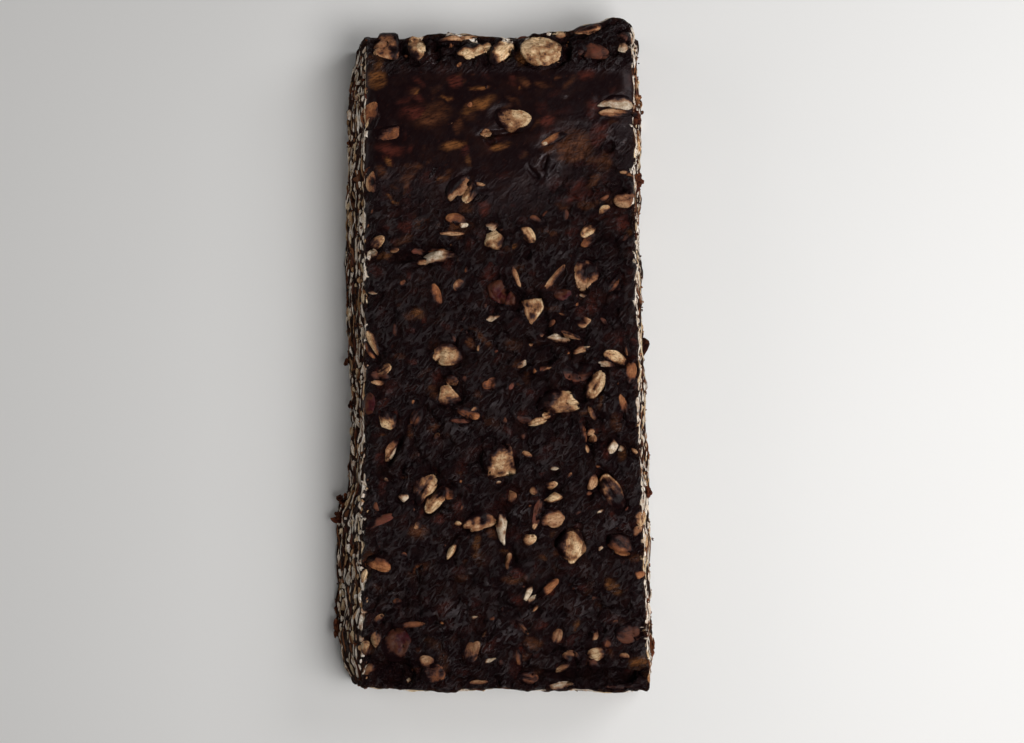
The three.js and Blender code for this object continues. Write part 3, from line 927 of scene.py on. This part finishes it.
def soaked_material(name, fleck, gloss, streak_size, specular=0.25):
    """A dry piece's tint, then browned, then under a red-brown film, then chocolate as its soaking rises."""
    m = Nodes(name)
    place, flat = m.place(), m.place(streak_size, source="UV")
    streak = m.noise(flat, 1.0, 3.0, 0.6)
    tint = m.mix(m.ramp(streak, 0.34, 0.66), (0.58, 0.47, 0.36, 1), (1.12, 1.1, 1.08, 1))
    tint = m.mix(1.0, m.attribute("tint", "Color"), tint, "MULTIPLY")
    flecks = m.times(m.ramp(m.noise(place, 3.5), 0.56, 0.66), fleck)
    tint = m.mix(flecks, tint, BRAN)
    blotch = m.times(m.minus(m.noise(place, 0.8, 5.0, 0.65), 0.5), 1.8)
    soak = m.plus(m.plus(m.attribute("soak"), blotch), m.minus(streak, 0.5))
    browned = m.mix(0.75, tint, m.mix(1.0, tint, (0.6, 0.33, 0.17, 1), "MULTIPLY"))
    color = m.mix(m.ramp(soak, -0.05, 0.42), tint, m.mix(0.35, browned, BROWNED))
    color = m.mix(m.ramp(soak, 0.3, 0.82), color, FILM)
    cover = m.ramp(soak, 0.6, 1.15)
    color = m.mix(cover, color, CHOCOLATE)
    roughness = m.minus(gloss, m.times(cover, gloss - 0.3))
    normal = m.bump(streak, 0.14, 0.8)
    normal = m.bump(m.noise(place, 4.0), 0.1, 0.8, after=normal)
    specular_level = m.minus(specular, m.times(cover, 0.7 * specular))
    m.put(specular_level, m.shader.inputs["Specular IOR Level"])
    return m.finish(color, roughness, normal)


# ---- floor, light and camera

# metres, as are the places and sizes of the lights
FLOOR_HALF = 2.0
FLOOR_GAP = 0.0001  # the floor lies this far below the bar


def floor():
    m = Nodes("pale_floor")
    tone = m.mix(m.noise(m.place(), 0.02), (0.8, 0.79, 0.775, 1), (0.82, 0.81, 0.795, 1))
    normal = m.bump(m.noise(m.place(), 1.5, 2.0), 0.02, 0.3)
    material = m.finish(tone, 0.75, normal)
    corners = [(x * FLOOR_HALF, y * FLOOR_HALF, 0) for x, y in ((-1, -1), (1, -1), (1, 1), (-1, 1))]
    mesh = bpy.data.meshes.new("floor")
    mesh.from_pydata(corners, [], [(0, 1, 2, 3)])
    mesh.materials.append(material)
    made = add_object("floor", mesh)
    made.location.z = -FLOOR_GAP


def area_light(name, place, aim, size, power, color=(1, 1, 1)):
    light = bpy.data.lights.new(name, "AREA")
    light.shape = "SQUARE"
    light.size = size
    light.energy = power
    light.color = color
    made = add_object(name, light)
    made.location = place
    made.rotation_euler = (Vector(place) - Vector(aim)).to_track_quat("Z", "Y").to_euler()


def lights():
    area_light("window", (0.155, -0.1, 0.3), (0.05, 0, 0), 0.2, 0.94, (1, 0.998, 0.995))
    area_light("far_right", (0.24, 0.12, 0.22), (0.03, 0.02, 0), 0.15, 0.34, (0.98, 0.99, 1))
    area_light("left", (-0.4, 0.14, 0.12), (-0.03, 0, 0.01), 0.3, 0.36, (1, 0.99, 0.97))
    area_light("room", (0, 0.5, 0.23), (0, 0, 0), 0.35, 0.04)
    world = bpy.data.worlds.new("soft_room")
    bpy.context.scene.world = world
    world.use_nodes = True
    background = world.node_tree.nodes["Background"]
    background.inputs["Color"].default_value = (1, 0.99, 0.98, 1)
    background.inputs["Strength"].default_value = 0.07


def camera():
    """Nearly straight down on the bar from over its near half, tilted a little towards the far end."""
    data = bpy.data.cameras.new("camera")
    data.lens = 58.0
    data.clip_start = 0.01
    made = add_object("camera", data)
    place = np.array([0.29, -29.12, 314.95]) + FACE_MIDDLE
    tilt, yaw, roll = (math.radians(angle) for angle in (5.015, -0.257, -0.433))
    turn = Matrix.Rotation(tilt, 4, "X") @ Matrix.Rotation(yaw, 4, "Y") @ Matrix.Rotation(roll, 4, "Z")
    made.matrix_world = Matrix.Translation(Vector(place) * MM) @ turn
    bpy.context.scene.camera = made


# ---- the bar

def granola_bar():
    rng = np.random.default_rng(7)
    body = chocolate_body()
    chocolate = chocolate_material()
    body.data.materials.append(chocolate)
    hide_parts(NODE)
    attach(body, "root")
    tree = BVHTree.FromObject(body, bpy.context.evaluated_depsgraph_get())

    fruit = soaked_material("dried_fruit", 0.2, 0.45, (0.7, 0.7), 0.12)
    cut = soaked_material("cut_oats", 0.6, 0.85, (1.6, 0.3), 0.05)
    heaps = {
        "oat": Heap("oat_flakes", soaked_material("oats", 0.8, 0.72, (1.4, 0.3)), "oats"),
        "nut": Heap("nut_pieces", soaked_material("nuts", 0.45, 0.6, (1, 0.7)), "nuts"),
        "fruit": Heap("fruit_pieces", fruit, "dried_fruit"),
        "coat": Heap("coated_flakes", chocolate, "dark_chocolate"),
        "wall": Heap("cut_flakes", cut, "oats"),
        "under": Heap("pressed_flakes", cut, "oats"),
        "crumb": Heap("crumbs", cut, "oats"),
    }
    for fill in (top_pieces, coated_flakes, top_bits, wall_flakes, under_flakes, crumbs):
        fill(tree, heaps, rng)
    for heap in heaps.values():
        heap.build()


bpy.context.scene.view_settings.view_transform = "Standard"
granola_bar()
floor()
lights()
camera()
